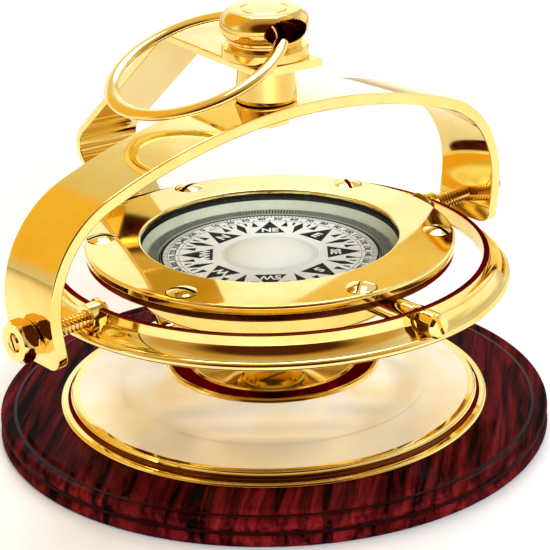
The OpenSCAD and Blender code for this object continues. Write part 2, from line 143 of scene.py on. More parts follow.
def lathe_bm(outline, steps=168, bm=None, place=Matrix.Identity(4)):
    """Turns a closed outline of (radius, height) about Z. Points at radius 0 become poles."""
    bm = bm or bmesh.new()
    rings = []
    for r, z in [(p[0], p[1]) for p in outline]:
        if r < 1e-7:
            rings.append([bm.verts.new(place @ Vector((0, 0, z)))])
        else:
            rings.append([bm.verts.new(place @ Vector((r * math.cos(TAU * k / steps),
                                                       r * math.sin(TAU * k / steps), z)))
                          for k in range(steps)])
    for i, a in enumerate(rings):
        b = rings[(i + 1) % len(rings)]
        if len(a) == 1 and len(b) == 1:
            continue
        for k in range(steps):
            m = (k + 1) % steps
            quad = [a[k % len(a)], a[m % len(a)], b[m % len(b)], b[k % len(b)]]
            face = []
            for v in quad:
                if v not in face:
                    face.append(v)
            if len(face) > 2:
                bm.faces.new(face)
    return bm


def turned(name, outline, body, material, node=None, steps=168, round_mm=0.25,
           place=Matrix.Identity(4), parts=4):
    """A turned piece. The outline is in millimetres and its corners are rounded."""
    line = [(p[0] * MM, p[1] * MM) for p in fillet(outline, round_mm, parts)]
    return new_object(name, lathe_bm(line, steps, place=place), body, material,
                      node if node is not None else name.split("-")[0])


def rounded_bar(width, thick, radius, steps=4):
    """Cross-section of a flat bar with rounded edges: points (across, through)."""
    w, t = width / 2, thick / 2
    r = min(radius, w * 0.98, t * 0.98)
    out = []
    for cx, cy, a0 in ((w - r, t - r, 0), (-w + r, t - r, 90), (-w + r, -t + r, 180), (w - r, -t + r, 270)):
        out += arc((cx, cy), r, a0, a0 + 90, steps)
    return out


def strap_bm(path, widths, thick, edge, place):
    """A flat strap swept along a path of (along, height, lean angle) points, all in millimetres."""
    bm = bmesh.new()
    rings = []
    for (u, z, lean), width in zip(path, widths):
        normal = Vector((math.cos(lean), math.sin(lean)))
        ring = []
        for across, through in rounded_bar(width, thick, edge):
            p = Vector((u, z)) + normal * through
            ring.append(bm.verts.new(place @ Vector((p.x, across, p.y)) * MM))
        rings.append(ring)
    for a, b in zip(rings, rings[1:]):
        for k in range(len(a)):
            m = (k + 1) % len(a)
            bm.faces.new((a[k], a[m], b[m], b[k]))
    bm.faces.new(rings[0])
    bm.faces.new(rings[-1][::-1])
    return bm


def cut_away(piece, cutters, bevel=0.0):
    """Subtracts cutter meshes from a piece for good, then rounds the new edges."""
    for cutter in cutters:
        modifier = piece.modifiers.new("cut", "BOOLEAN")
        modifier.operation = "DIFFERENCE"
        modifier.solver = "EXACT"
        modifier.object = cutter
    weighted = [m for m in piece.modifiers if m.type == "WEIGHTED_NORMAL"]
    for m in weighted:
        piece.modifiers.remove(m)
    if bevel:
        modifier = piece.modifiers.new("edge", "BEVEL")
        modifier.width = bevel
        modifier.segments = 3
        modifier.limit_method = "ANGLE"
        modifier.angle_limit = math.radians(38)
        modifier.harden_normals = False
    bpy.context.view_layer.update()
    evaluated = piece.evaluated_get(bpy.context.evaluated_depsgraph_get())
    mesh = bpy.data.meshes.new_from_object(evaluated)
    mesh.name = piece.data.name
    piece.modifiers.clear()
    piece.data = mesh
    for cutter in cutters:
        bpy.data.objects.remove(cutter)
    finish_mesh(piece)
    return piece


def cutter(bm, name="cutter"):
    bmesh.ops.recalc_face_normals(bm, faces=bm.faces)
    mesh = bpy.data.meshes.new(name)
    bm.to_mesh(mesh)
    bm.free()
    tool = bpy.data.objects.new(name, mesh)
    bpy.context.scene.collection.objects.link(tool)
    return tool


def box_cutter(size, place):
    bm = bmesh.new()
    bmesh.ops.create_cube(bm, size=1)
    bmesh.ops.transform(bm, matrix=place @ Matrix.Diagonal((*[s * MM for s in size], 1)), verts=bm.verts)
    return cutter(bm)


def at(x, y, z):
    return Matrix.Translation((x * MM, y * MM, z * MM))


def facing(axis):
    """Rotation that sends +Z to an axis."""
    return Vector(axis).to_track_quat("Z", "Y").to_matrix().to_4x4()


def in_mm(corner):
    return [c / MM for c in corner]


# ---------------------------------------------------------------- materials

def node_material(name):
    material = bpy.data.materials.new(name)
    material.use_nodes = True
    tree = material.node_tree
    return material, tree, tree.nodes["Principled BSDF"]


def add(tree, kind, **values):
    node = tree.nodes.new(kind)
    for key, value in values.items():
        if key in node.inputs:
            node.inputs[key].default_value = value
        else:
            setattr(node, key, value)
    return node


def coordinates(tree, scale=(1, 1, 1), spin=(0, 0, 0)):
    where = add(tree, "ShaderNodeTexCoord")
    turn = add(tree, "ShaderNodeMapping", Rotation=spin)
    stretch = add(tree, "ShaderNodeMapping", Scale=scale)
    tree.links.new(where.outputs["Object"], turn.inputs["Vector"])
    tree.links.new(turn.outputs["Vector"], stretch.inputs["Vector"])
    return stretch.outputs["Vector"]


def noise(tree, vector, scale, detail=3.0, rough=0.5, distortion=0.0):
    node = add(tree, "ShaderNodeTexNoise", Scale=scale, Detail=detail, Roughness=rough,
               Distortion=distortion)
    tree.links.new(vector, node.inputs["Vector"])
    return node.outputs["Fac"]


def ramp(tree, factor, stops, smooth=False):
    node = add(tree, "ShaderNodeValToRGB")
    node.color_ramp.interpolation = "EASE" if smooth else "LINEAR"
    marks = node.color_ramp.elements
    for i, (place, colour) in enumerate(stops):
        mark = marks[i] if i < 2 else marks.new(place)
        mark.position = place
        mark.color = (*colour, 1)
    tree.links.new(factor, node.inputs["Fac"])
    return node.outputs["Color"]


def spread(tree, factor, low, high):
    node = add(tree, "ShaderNodeMapRange")
    node.inputs["To Min"].default_value = low
    node.inputs["To Max"].default_value = high
    tree.links.new(factor, node.inputs["Value"])
    return node.outputs["Result"]


def mixed(tree, factor, a, b, mode="MIX"):
    node = add(tree, "ShaderNodeMix", data_type="RGBA", blend_type=mode)
    for socket, value in ((node.inputs[0], factor), (node.inputs[6], a), (node.inputs[7], b)):
        if isinstance(value, bpy.types.NodeSocket):
            tree.links.new(value, socket)
        elif isinstance(value, (int, float)):
            socket.default_value = value
        else:
            socket.default_value = (*value, 1)
    return node.outputs[2]


def bumped(tree, shader, height, strength, distance, before=None):
    node = add(tree, "ShaderNodeBump", Strength=strength, Distance=distance)
    tree.links.new(height, node.inputs["Height"])
    if before:
        tree.links.new(before, node.inputs["Normal"])
    tree.links.new(node.outputs["Normal"], shader.inputs["Normal"])
    return node.outputs["Normal"]


def brass(name, tone=(0.93, 0.76, 0.3), dull=(0.88, 0.62, 0.16), rough=(0.035, 0.1), wave=0.35,
          metallic=1.0, rim=(1, 1, 1), marks=0.03):
    """Mirror-polished brass: slightly uneven polish, faint tarnish and hairline marks."""
    material, tree, shader = node_material(name)
    shader.inputs["Metallic"].default_value = metallic
    shader.inputs["Specular Tint"].default_value = (*rim, 1)
    where = coordinates(tree)
    clouds = noise(tree, where, 38, 4, 0.6, 0.4)
    tint = ramp(tree, clouds, [(0.36, tone), (0.78, dull)], True)
    tree.links.new(tint, shader.inputs["Base Color"])
    fine = noise(tree, where, 240, 5, 0.65)
    tree.links.new(spread(tree, fine, *rough), shader.inputs["Roughness"])
    swell = noise(tree, where, 26, 1, 0.4, 0.2)
    first = bumped(tree, shader, swell, wave, 0.00035)
    if not marks:
        return material
    hairs = noise(tree, coordinates(tree, (900, 60, 300), (0.3, 0.2, 0.5)), 3, 2, 0.6)
    bumped(tree, shader, hairs, marks, 0.00002, first)
    return material


def plain(name, colour, rough, bump=0.1, grain=900, metallic=0.0, tint=0.06, ior=1.5):
    """A painted, moulded or cast surface with a fine grain and slight unevenness of colour."""
    material, tree, shader = node_material(name)
    shader.inputs["Metallic"].default_value = metallic
    shader.inputs["IOR"].default_value = ior
    where = coordinates(tree)
    clouds = noise(tree, where, 120, 3)
    darker = tuple(c * (1 - 2 * tint) for c in colour)
    lighter = tuple(min(1, c * (1 + tint)) for c in colour)
    tree.links.new(ramp(tree, clouds, [(0.3, darker), (0.7, lighter)]), shader.inputs["Base Color"])
    fine = noise(tree, where, grain, 3, 0.6)
    tree.links.new(spread(tree, fine, rough * 0.85, rough * 1.15), shader.inputs["Roughness"])
    bumped(tree, shader, fine, bump, 0.00005)
    return material


def wood():
    """Dark red mahogany with black diagonal streaks under gloss lacquer."""
    material, tree, shader = node_material("lacquered_mahogany")
    along = coordinates(tree, (1, 0.06, 0.5), (0, 0, math.radians(48)))
    warp = noise(tree, along, 60, 2, 0.5)
    streaks = noise(tree, along, 300, 4, 0.6, 0.5)
    pores = noise(tree, coordinates(tree, (1, 0.05, 1), (0, 0, math.radians(48))), 1100, 2, 0.6)
    body = ramp(tree, streaks, [(0.38, (0.004, 0.0005, 0.001)), (0.48, (0.055, 0.003, 0.004)),
                                (0.6, (0.15, 0.008, 0.01)), (0.76, (0.27, 0.02, 0.02))], True)
    shade = ramp(tree, warp, [(0.3, (0.55, 0.5, 0.5)), (0.7, (1, 1, 1))])
    toned = mixed(tree, 1.0, body, shade, "MULTIPLY")
    flecks = ramp(tree, pores, [(0.34, (0.2, 0.12, 0.12)), (0.46, (1, 1, 1))])
    tree.links.new(mixed(tree, 0.35, toned, flecks, "MULTIPLY"), shader.inputs["Base Color"])
    shader.inputs["Roughness"].default_value = 0.5
    shader.inputs["IOR"].default_value = 1.02
    shader.inputs["Coat Weight"].default_value = 0.05
    shader.inputs["Coat Roughness"].default_value = 0.08
    bumped(tree, shader, pores, 0.08, 0.00006)
    return material


def felt():
    material, tree, shader = node_material("green_baize")
    where = coordinates(tree)
    fuzz = noise(tree, where, 1400, 5, 0.75)
    tree.links.new(ramp(tree, fuzz, [(0.3, (0.012, 0.045, 0.022)), (0.75, (0.05, 0.15, 0.075))]),
                   shader.inputs["Base Color"])
    shader.inputs["Roughness"].default_value = 0.95
    shader.inputs["Sheen Weight"].default_value = 0.5
    shader.inputs["Sheen Roughness"].default_value = 0.5
    bumped(tree, shader, fuzz, 0.6, 0.0003)
    return material


def window_glass():
    """Thin clear glass: nearly invisible, with a faint gloss and slight smears."""
    material, tree, shader = node_material("window_glass")
    shader.inputs["Base Color"].default_value = (0.05, 0.07, 0.065, 1)
    shader.inputs["Alpha"].default_value = 0.06
    smears = noise(tree, coordinates(tree), 50, 3, 0.6)
    tree.links.new(spread(tree, smears, 0.01, 0.05), shader.inputs["Roughness"])
    return material


def milky_plastic():
    """Translucent white moulding of the float dome."""
    material, tree, shader = node_material("milky_plastic")
    cloud = noise(tree, coordinates(tree), 90, 2)
    tree.links.new(ramp(tree, cloud, [(0.3, (0.84, 0.94, 0.94)), (0.7, (0.91, 0.99, 0.98))]),
                   shader.inputs["Base Color"])
    shader.inputs["Roughness"].default_value = 0.4
    shader.inputs["IOR"].default_value = 1.1
    shader.inputs["Subsurface Weight"].default_value = 0.4
    shader.inputs["Subsurface Radius"].default_value = (0.004, 0.004, 0.004)
    shader.inputs["Subsurface Scale"].default_value = 1
    return material


BRASS = brass("polished_brass")
CAST = brass("turned_brass", tone=(0.87, 0.66, 0.2), dull=(0.78, 0.5, 0.11), rough=(0.05, 0.13), wave=0.12)
SHEET = brass("rolled_brass", rough=(0.03, 0.08), wave=0.6)
RODS = brass("screw_brass", tone=(0.9, 0.6, 0.17), dull=(0.7, 0.36, 0.07), rough=(0.08, 0.2), wave=0.05)
# Near-white, partly diffuse brass: a painted highlight standing in for the blown-out reflection on the base
# plate and the boss skirt; the roughness is a satin polish.
PAINTED_HIGHLIGHT = brass("brass_painted_highlight", tone=(1.0, 0.97, 0.86), dull=(0.98, 0.86, 0.52), rough=(0.24, 0.28), wave=0.0,
              metallic=0.4, marks=0.0)
# Dark brown brass: painted shade in recesses and under parts, and painted dark reflection on grooves and
# bands of the polished brass.
PAINTED_SHADE_AND_REFLECTION = brass("brass_painted_shade_and_reflection", tone=(0.17, 0.05, 0.014), dull=(0.08, 0.02, 0.006),
                rough=(0.1, 0.2), wave=0.2, rim=(0.5, 0.2, 0.08))
WOOD = wood()
FELT = felt()
# Near-black lacquer for the wood's mould grooves: painted shade in the grooves.
GROOVE_SHADE = plain("wood_painted_groove_shade", (0.012, 0.0015, 0.002), 0.3, 0.1, 700, ior=1.15)
STEEL = plain("zinc_steel", (0.55, 0.56, 0.58), 0.28, 0.15, 700, 1.0)
GLASS = window_glass()
GASKET = plain("gasket_rubber", (0.012, 0.012, 0.012), 0.6, 0.3, 1200, ior=1.02)
LINER = plain("liner_enamel", (0.6, 0.68, 0.55), 0.35, 0.1, 700, ior=1.02)
DIAL_GREY = plain("dial_grey", (0.34, 0.37, 0.31), 0.5, 0.15, 1500, ior=1.02)
CARD_WHITE = plain("card_white", (0.84, 0.9, 0.92), 0.5, 0.08, 1800, tint=0.02, ior=1.02)
INK = plain("printing_ink", (0.004, 0.0045, 0.005), 0.4, 0.1, 1800, ior=1.02)
MILKY = milky_plastic()
DARK_ALLOY = plain("magnet_alloy", (0.05, 0.05, 0.055), 0.45, 0.3, 500, 0.8)
LEAD = plain("cast_ballast", (0.2, 0.2, 0.21), 0.6, 0.5, 300, 0.7)
BRONZE = plain("spring_bronze", (0.62, 0.38, 0.18), 0.25, 0.1, 600, 1.0)

CAD_MATERIALS = {
    "base_plate_screws": STEEL, "clamp_washer": STEEL, "clamp_nut": STEEL, "clamp_bolt": BRASS,
    "top_stud": RODS, "stud_washer": BRASS, "stud_nut": BRASS, "pivot_bridge": BRASS,
    "bridge_screws": RODS, "pivot_post": STEEL, "counterweight": LEAD, "diaphragm": BRONZE,
    "bottom_cover": BRASS, "filler_plug": BRASS, "card_float": MILKY, "pivot_cap": STEEL,
    "card_magnets": DARK_ALLOY,
}
for node, material in CAD_MATERIALS.items():
    carried = frame["nodes"][node]
    carried.data.materials.clear()
    carried.data.materials.append(material)


# ---------------------------------------------------------------- base

def make_base():
    low, high = map(in_mm, (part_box("felt_pad")))
    turned("felt_pad", [(0, low[2]), (high[0], low[2]), (high[0], high[2]), (0, high[2])],
           "base", FELT, round_mm=0.5)
    low, high = map(in_mm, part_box("wood_base"))
    r, top, foot = high[0], high[2], low[2]
    inner = in_mm(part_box("felt_pad")[1])[0] + 0.1
    step = in_mm(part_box("felt_pad")[1])[2]
    edge = [(0, step, 0), (inner, step, 0.1), (inner, foot, 0.3)]
    edge += arc((r - 1.9, foot + 1.75), 1.75, -90, 62, 12)
    edge += arc((r - 0.95, foot + 4.05), 0.75, 250, 125, 8)
    edge += arc((r - 1.95, top - 2.0), 1.65, -30, 112, 12)
    edge += [(r - 4.4, top - 0.9, 0.5), (r - 5.4, top - 0.75, 0.5), (r - 6.6, top, 0.6), (0, top, 0)]
    board = turned("wood_base", edge, "base", WOOD, round_mm=0, steps=256)
    # Painted shade: the groove above the foot bead and the groove inside the top bead are coloured
    # near-black.
    paint(board, GROOVE_SHADE, lambda c, n: abs(c.z - foot - 4.05) < 0.6 and c.xy.length > r - 3)
    paint(board, GROOVE_SHADE, lambda c, n: r - 5.3 < c.xy.length < r - 4.0 and c.z > top - 1.4)

    low, high = map(in_mm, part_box("base_plate"))
    r, top = high[0], high[2]
    rim = r - 3.6
    plate = [(0, low[2], 0), (r - 0.2, low[2], 0.2)]
    plate += arc((r - 1, low[2] + 0.95), 1, -50, 95, 9)
    plate += arc((rim + 1.5, low[2] + 3.1), 1.15, 262, 175, 7)
    plate += arc((rim - 0.75, top - 1.75), 0.75, 5, 92, 7)
    plate += [(rim - 2.2, top - 1.05, 0.4), (47.5, top, 5), (0, top, 0)]
    plate = turned("base_plate", plate, "base", SHEET, round_mm=0, steps=256)
    # Painted highlight: the flat top of the plate takes the near-white brass.
    paint(plate, PAINTED_HIGHLIGHT, lambda c, n: n.z > 0.98 and c.xy.length < rim - 1.5)
    # Painted dark reflection: a dark brown band in the cove below the rim.
    paint(plate, PAINTED_SHADE_AND_REFLECTION, lambda c, n: rim + 0.3 < c.xy.length < rim + 1.6 and c.z > low[2] + 1.5)

    low, high = map(in_mm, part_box("clamp_boss"))
    r, top, foot = high[0], high[2], low[2]
    floor = top - 1.5
    lip = 32.6
    boss = [(0, foot, 0)] + arc((r, foot + 18.9), 18.8, -90, -136, 20)
    boss += [(lip, top - 0.9, 0.6), (lip - 0.35, top - 0.1, 0.4), (lip - 1.3, top, 0.4),
             (25.9, top - 0.35, 0.4), (25.2, top - 0.1, 0.3), (24.7, top - 0.1, 0.3), (24.2, floor, 0.5),
             (9.4, floor, 0.5), (8.6, floor + 0.4, 0.2), (0, floor + 0.4, 0)]
    boss = turned("clamp_boss", boss, "base", CAST, steps=192, round_mm=0)
    turn = Matrix.Rotation(math.radians(ARM_ANGLE - 90), 4, "Z")
    slot = box_cutter((ARM_W + 0.2, 70, 2 * ARM_T + 0.1), turn @ at(0, 35 - 13.1, foot))
    cut_away(boss, [slot])
    # Painted highlight: the flared skirt of the boss takes the near-white brass.
    paint(boss, PAINTED_HIGHLIGHT, lambda c, n: c.xy.length > lip + 0.3)
    # Painted shade: a dark brown ring on the boss top, under the bowl.
    paint(boss, PAINTED_SHADE_AND_REFLECTION, lambda c, n: 26.5 < c.xy.length < 29.5 and c.z > floor - 0.2)


ARM_ANGLE = 83.5
ARM_W = 22
ARM_T = 2.4
ARM_END = 13
ARM_REACH = 101.5
ARM_HIGH = 41
ARM_LOW = 48
ARM_BEND = 7


def bent_path(points, radius, steps=16):
    """Path of (along, height, lean) through rolled corners, with a few points on each straight."""
    line = fillet(points, radius, steps, closed=False)
    dense = [line[0]]
    for a, b in zip(line, line[1:]):
        gap = (b - a).length
        if gap < 1e-6:
            continue
        pieces = max(1, round(gap / 8))
        dense += [a.lerp(b, (i + 1) / pieces) for i in range(pieces)]
    out = []
    for i, p in enumerate(dense):
        before = (p - dense[i - 1]).normalized() if i else (dense[1] - p).normalized()
        after = (dense[i + 1] - p).normalized() if i < len(dense) - 1 else before
        along = (before + after).normalized()
        out.append((p.x, p.y, math.atan2(along.x, -along.y)))
    return out


def make_arm():
    low, high = map(in_mm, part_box("support_arm"))
    top = high[2] - ARM_T / 2
    foot = low[2] + ARM_T / 2
    elbow = (top + foot) / 2 + 1
    path = bent_path([(-ARM_END, top), (ARM_HIGH, top), (ARM_REACH, elbow), (ARM_LOW, foot),
                      (-ARM_END, foot)], ARM_BEND)
    place = Matrix.Rotation(math.radians(ARM_ANGLE), 4, "Z")
    bm = strap_bm(path, [ARM_W] * len(path), ARM_T, 0.45, place)
    new_object("support_arm", bm, "base", SHEET, "support_arm")


def make_top():
    low, high = map(in_mm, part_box("spacer"))
    r = high[0]
    turned("spacer", [(4.05, low[2]), (r - 0.2, low[2], 0.5), (r, low[2] + 1.2, 1.2),
                      (r - 1.0, high[2] - 1, 3), (r - 1.0, high[2], 0.1), (4.05, high[2])],
           "base", CAST, steps=128)
    low, high = map(in_mm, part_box("collar"))
    r = high[0]
    turned("collar", [(4.05, low[2]), (r - 0.3, low[2], 0.15), (r, low[2] + 0.35, 0.15),
                      (r, high[2] - 0.5, 0.2), (r - 0.5, high[2], 0.3), (4.05, high[2])],
           "base", CAST, steps=144)
    low, high = map(in_mm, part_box("knob"))
    r, top, foot = high[0], high[2], low[2]
    mid = foot + 6.1
    bun = [(0, foot, 0), (10.6, foot, 0.1), (10.6, foot + 1.4, 0.3), (11.2, foot + 1.6, 0.2)]
    bun += arc((r - 4.85, mid), 4.85, -52, 66, 26)
    bun += [(7.2, top - 0.12, 0.3), (6.75, top - 0.32, 0.1), (6.3, top - 0.06, 0.15), (0, top, 0)]
    knob = turned("knob", bun, "base", CAST, steps=160, round_mm=0)
    eye = bmesh.new()
    wide, tall = EYE_SIZE[0] / 2 * MM, EYE_SIZE[1] / 2 * MM
    ends = []
    for y in (-0.03, 0.03):
        ends.append([eye.verts.new((wide * math.cos(TAU * k / 48), y, EYE_Z + tall * math.sin(TAU * k / 48)))
                     for k in range(48)])
    for k in range(48):
        eye.faces.new((ends[0][k], ends[0][(k + 1) % 48], ends[1][(k + 1) % 48], ends[1][k]))
    eye.faces.new(ends[0])
    eye.faces.new(ends[1][::-1])
    bmesh.ops.transform(eye, matrix=Matrix.Rotation(math.radians(ARM_ANGLE - 90), 4, "Z"), verts=eye.verts)
    cut_away(knob, [cutter(eye)], 0.00028)
    unturn = Matrix.Rotation(-math.radians(ARM_ANGLE - 90), 3, "Z")

    def inside_eye(centre, normal):
        p = unturn @ centre
        return abs((p.x / (EYE_SIZE[0] / 2)) ** 2 + ((p.z - EYE_Z / MM) / (EYE_SIZE[1] / 2)) ** 2 - 1) < 0.06

    # Painted shade: the faces round the eye hole of the knob are dark brown.
    paint(knob, PAINTED_SHADE_AND_REFLECTION, inside_eye)


EYE_SIZE = (14, 7)
HANDLE_R = 25.4
HANDLE_HANG = 1.5
HANDLE_DROOP = 20.6
HANDLE_LEAN = 3.5
WIRE_R = 1.4
GRIP = (4.4, 2.6)
JOURNAL = 13.2


def make_handle():
    """Ring handle, round where it runs through the knob and flattened into a grip elsewhere."""
    hinge = math.atan2(HINGE.y, HINGE.x) - math.pi / 2
    place = (Matrix.Translation((0, 0, EYE_Z)) @ Matrix.Rotation(hinge, 4, "Z")
             @ Matrix.Rotation(-math.radians(HANDLE_DROOP), 4, "Y")
             @ Matrix.Rotation(math.radians(HANDLE_LEAN), 4, "X")
             @ at(HANDLE_HANG - HANDLE_R, 0, 0))
    bm = bmesh.new()
    rings = []
    turns, around = 200, 28
    start = math.asin(JOURNAL / HANDLE_R)
    for i in range(turns):
        a = TAU * i / turns
        off = min(a, TAU - a)
        mix = min(1, max(0, (off - start) / 0.07))
        mix = mix * mix * (3 - 2 * mix)
        half_w = WIRE_R + (GRIP[0] / 2 - WIRE_R) * mix
        half_t = WIRE_R + (GRIP[1] / 2 - WIRE_R) * mix
        ring = []
        for k in range(around):
            b = TAU * k / around
            r = (HANDLE_R + half_w * math.cos(b)) * MM
            ring.append(bm.verts.new(place @ Vector((r * math.cos(a), r * math.sin(a),
                                                     half_t * math.sin(b) * MM))))
        rings.append(ring)
    for i in range(turns):
        a, b = rings[i], rings[(i + 1) % turns]
        for k in range(around):
            m = (k + 1) % around
            bm.faces.new((a[k], a[m], b[m], b[k]))
    new_object("handle_ring", bm, "handle", BRASS, "handle_ring", 60)


# ---------------------------------------------------------------- yoke and outer pivots

YOKE_T = 3.6
CROWN_R = 190
SHOULDER_R = 32
LEG_LEAN = 7
FOOT_DROP = 7.6
FOOT_CORNER = 4


def make_yoke():
    low, high = map(in_mm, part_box("yoke"))
    half, top, w = high[0], high[2], high[1]
    axis = AXIS_Z / MM
    sx = half - SHOULDER_R
    sz = top - CROWN_R + math.sqrt((CROWN_R - SHOULDER_R) ** 2 - sx ** 2)
    sa = math.degrees(math.atan2(sz - (top - CROWN_R), sx))
    rm = SHOULDER_R - YOKE_T / 2
    side = []
    foot_z = axis - FOOT_DROP
    lean = math.radians(-LEG_LEAN)
    base = Vector((sx, sz)) + polar(rm, -LEG_LEAN)
    down = polar(1, -LEG_LEAN - 90)
    to_foot = (base.y - foot_z) / -down.y
    steps = 8
    for i in range(steps + 1):
        swing = math.radians(90 * i / steps)
        p = base + down * (to_foot - FOOT_CORNER * (1 - math.cos(swing)))
        side.append((p.x, p.y, lean, 2 * (w - FOOT_CORNER * (1 - math.sin(swing)))))
    for i in range(5):
        p = base + down * (to_foot - FOOT_CORNER) * (1 - (i + 1) / 6)
        side.append((p.x, p.y, lean, 2 * w))
    for i in range(29):
        a = -LEG_LEAN + (sa + LEG_LEAN) * i / 28
        p = Vector((sx, sz)) + polar(rm, a)
        side.append((p.x, p.y, math.radians(a), 2 * w))
    for i in range(1, 21):
        a = sa + (90 - sa) * i / 20
        p = Vector((0, top - CROWN_R)) + polar(CROWN_R - YOKE_T / 2, a)
        side.append((p.x, p.y, math.radians(a), 2 * w))
    other = [(-x, z, math.pi - a, wide) for x, z, a, wide in reversed(side[:-1])]
    path = side + other
    bm = strap_bm([p[:3] for p in path], [max(p[3], 0.9) for p in path], YOKE_T, 0.5, Matrix.Identity(4))
    new_object("yoke", bm, "yoke_frame", SHEET, "yoke")


def threaded_rod(bm, length, r, pitch, depth, place, plain_to=0.0, steps=40):
    """A rod along +Z with a helical thread from plain_to to its end, which is chamfered."""
    rows = [0.0]
    z = 0.0
    while z < length:
        z += pitch / 6 if z >= plain_to else min(1.0, plain_to - z + 1e-9)
        rows.append(min(z, length))
    rings = []
    for z in rows:
        ring = []
        for k in range(steps):
            a = TAU * k / steps
            here = r
            if z > plain_to:
                phase = (z / pitch - k / steps) % 1
                here = r - depth * abs(2 * phase - 1) * min(1, (z - plain_to) / pitch)
            here = min(here, r - 0.5 + (length - z))
            spot = Vector((here * math.cos(a) * MM, here * math.sin(a) * MM, z * MM))
            ring.append(bm.verts.new(place @ spot))
        rings.append(ring)
    for a, b in zip(rings, rings[1:]):
        for k in range(steps):
            m = (k + 1) % steps
            bm.faces.new((a[k], a[m], b[m], b[k]))
    bm.faces.new(rings[0][::-1])
    bm.faces.new(rings[-1])
    return bm


def make_pivot_bolt(side, node):
    low, high = map(in_mm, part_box(node))
    tip, end = (high[0], low[0]) if side < 0 else (low[0], high[0])
    r = high[1]
    place = at(tip, 0, AXIS_Z / MM) @ facing((side, 0, 0))
    length = abs(end - tip)
    bm = threaded_rod(bmesh.new(), length, r, 1.3, 0.5, place, plain_to=5.6)
    bolt = new_object(node, bm, "yoke_frame", RODS, node, 50)
    spin = Matrix.Rotation(math.radians(24), 4, "Z")
    slot = box_cutter((0.9, 8, 2.4), place @ spin @ at(0, 0, length))
    cut_away(bolt, [slot])


def hex_nut_bm(flats, height, bore, place, steps=96):
    """A hexagonal nut along +Z with chamfered corners and a countersunk bore."""
    bm = bmesh.new()
    r_flat = flats / 2
    r_corner = r_flat / math.cos(math.pi / 6)
    rows = [(0.0, 'in', bore), (0.0, 'face', 0.93), (0.02, 'face', 0.965), (0.75, 'side', 0.55),
            (1.1, 'side', 1.0), (height - 1.1, 'side', 1.0), (height - 0.75, 'side', 0.55),
            (height - 0.02, 'face', 0.965), (height, 'face', 0.93), (height, 'in', bore + 0.35),
            (height - 0.4, 'in', bore)]
    rings = []
    for z, kind, value in rows:
        ring = []
        for k in range(steps):
            a = TAU * k / steps
            off = (a % (math.pi / 3)) - math.pi / 6
            hex_r = r_flat / math.cos(off)
            if kind == "in":
                r = value
            elif kind == "face":
                r = min(hex_r * 0.995, r_flat * value * 1.04)
            else:
                depth = min(z, height - z)
                r = min(hex_r, r_flat * 0.995 + (r_corner - r_flat) * min(1, depth / 1.1))
            ring.append(bm.verts.new(place @ Vector((r * math.cos(a) * MM, r * math.sin(a) * MM, z * MM))))
        rings.append(ring)
    for i in range(len(rings)):
        a, b = rings[i], rings[(i + 1) % len(rings)]
        for k in range(steps):
            m = (k + 1) % steps
            bm.faces.new((a[k], a[m], b[m], b[k]))
    return bm


def make_yoke_fittings():
    make_pivot_bolt(-1, "pivot_bolt_left")
    make_pivot_bolt(1, "pivot_bolt_right")
    low, high = map(in_mm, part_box("lock_nut_left"))
    place = at(high[0], 0, AXIS_Z / MM) @ facing((-1, 0, 0)) @ Matrix.Rotation(math.radians(0), 4, "Z")
    flats = min(high[1] - low[1], high[2] - low[2])
    bm = hex_nut_bm(flats, high[0] - low[0], 2.6, place)
    new_object("lock_nut_left", bm, "yoke_frame", BRASS, "lock_nut_left", 25)


# ---------------------------------------------------------------- gimbal ring and inner pivots

def make_ring():
    low, high = map(in_mm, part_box("gimbal_ring"))
    lip, top, foot = high[0], high[2], low[2]
    inner = lip - 8.2
    axis = AXIS_Z / MM
    ring = [(inner, top, 0.3), (inner, axis - 1.6, 1.2), (inner + 1.6, axis - 3.6, 1.2),
            (inner + 3.6, foot, 0.6), (lip - 1.1, foot, 0.3)]
    ring += arc((lip - 1.25, foot + 1.25), 1.25, -70, 92, 12)
    ring += arc((inner + 7.4, axis + 1.3), 5.45, 262, 186, 12)
    ring += [(inner + 1.9, top - 0.25, 0.2), (inner + 1.6, top, 0.2)]
    ring = turned("gimbal_ring", ring, "ring", SHEET, steps=256, round_mm=0)
    # Painted shade: the ring's top face, under the bowl flange, is dark brown.
    paint(ring, PAINTED_SHADE_AND_REFLECTION, lambda c, n: n.z > 0.5 and c.z > top - 0.5 and c.xy.length > inner + 0.2)
    for side, node in ((-1, "ring_bush_left"), (1, "ring_bush_right")):
        low, high = map(in_mm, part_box(node))
        near, far = (-high[0], -low[0]) if side < 0 else (low[0], high[0])
        r = high[1]
        bush = [(2.56, near, 0.2), (r, near, 0.25), (r, near + 0.8, 0.2), (r - 0.8, near + 0.8, 0.1),
                (r - 0.8, far, 0.4), (2.56, far, 0.2)]
        turned(node, bush, "ring", BRASS, node, 64,
               place=at(0, 0, axis) @ facing((side, 0, 0)))
    for side, node in ((-1, "pivot_screw_front"), (1, "pivot_screw_rear")):
        low, high = map(in_mm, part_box(node))
        near, far = (-high[1], -low[1]) if side < 0 else (low[1], high[1])
        head = near + 10.2
        r = high[0]
        place = at(0, 0, axis) @ facing((0, side, 0))
        screw = [(0, near, 0), (2, near, 0.4), (2, near + 6.7, 0.1), (3, near + 6.7, 0.2), (3, head, 0.1),
                 (r, head, 0.3), (r, far - 0.9, 0.8), (r - 0.9, far, 0.6), (0, far + 0, 0)]
        piece = turned(node, screw, "ring", BRASS, node, 64, place=place)
        spin = Matrix.Rotation(math.radians(25), 4, "Z")
        cut_away(piece, [box_cutter((1.1, 10, 4), place @ spin @ at(0, 0, far))], 0.00012)


# ---------------------------------------------------------------- bowl

